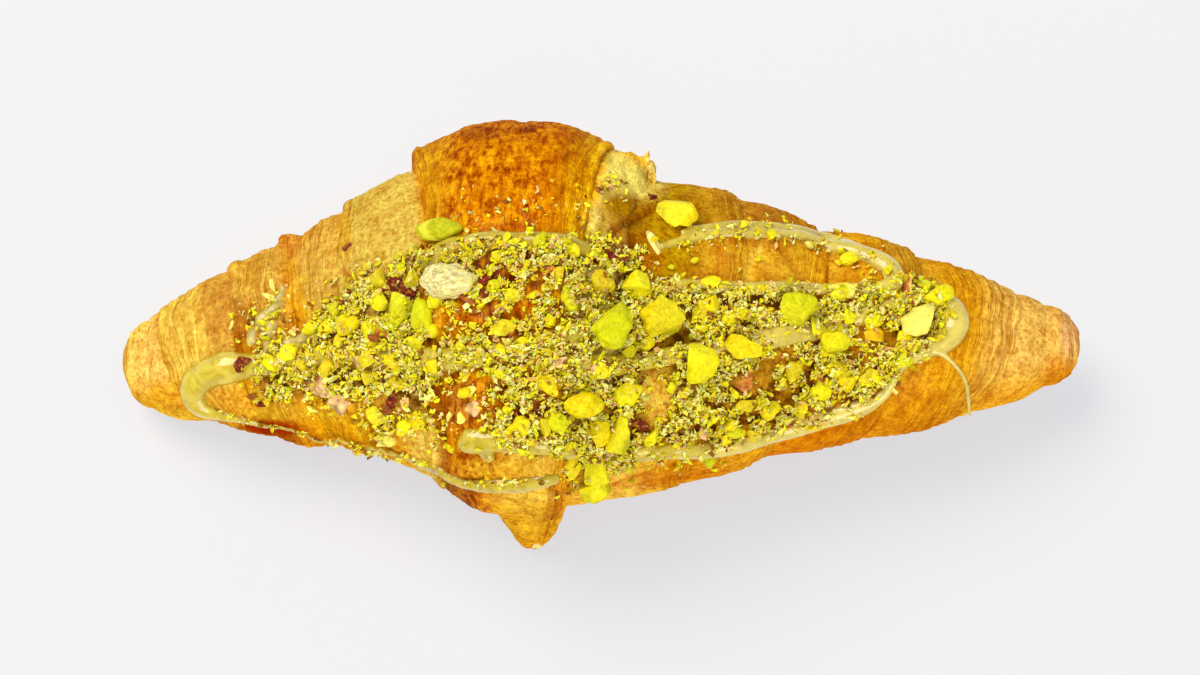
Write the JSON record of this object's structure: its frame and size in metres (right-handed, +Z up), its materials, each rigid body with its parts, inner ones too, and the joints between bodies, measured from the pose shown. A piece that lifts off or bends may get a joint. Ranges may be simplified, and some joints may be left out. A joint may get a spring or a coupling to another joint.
{
  "type": "pistachio croissant",
  "caption": "Straight, plump croissant of rolled dough with piped pistachio cream and chopped pistachios on top.",
  "frame": {"origin": "under the middle of the croissant's box, on the surface that it lies on", "axes": "+X along the croissant towards its thinner, higher end, +Y to its back, +Z up; the point of the dough hangs down at -Y"},
  "size_m": [0.1909, 0.0808, 0.0579],
  "materials": {
    "crust": "baked, egg-washed crust with a soft gloss",
    "pistachio": "matt nut",
    "cream": "smooth, glossy pistachio cream"
  },
  "bodies": {
    "root": {"croissant": "crust", "pistachio_1": "pistachio", "pistachio_2": "pistachio", "pistachio_3": "pistachio", "pistachio_4": "pistachio", "pistachio_5": "pistachio", "pistachio_6": "pistachio", "pistachio_7": "pistachio", "pistachio_8": "pistachio", "pistachio_9": "pistachio", "pistachio_10": "pistachio", "pistachio_11": "pistachio", "pistachio_12": "pistachio", "pistachio_13": "pistachio", "pistachio_14": "pistachio", "pistachio_15": "pistachio"}
  },
  "joints": []
}
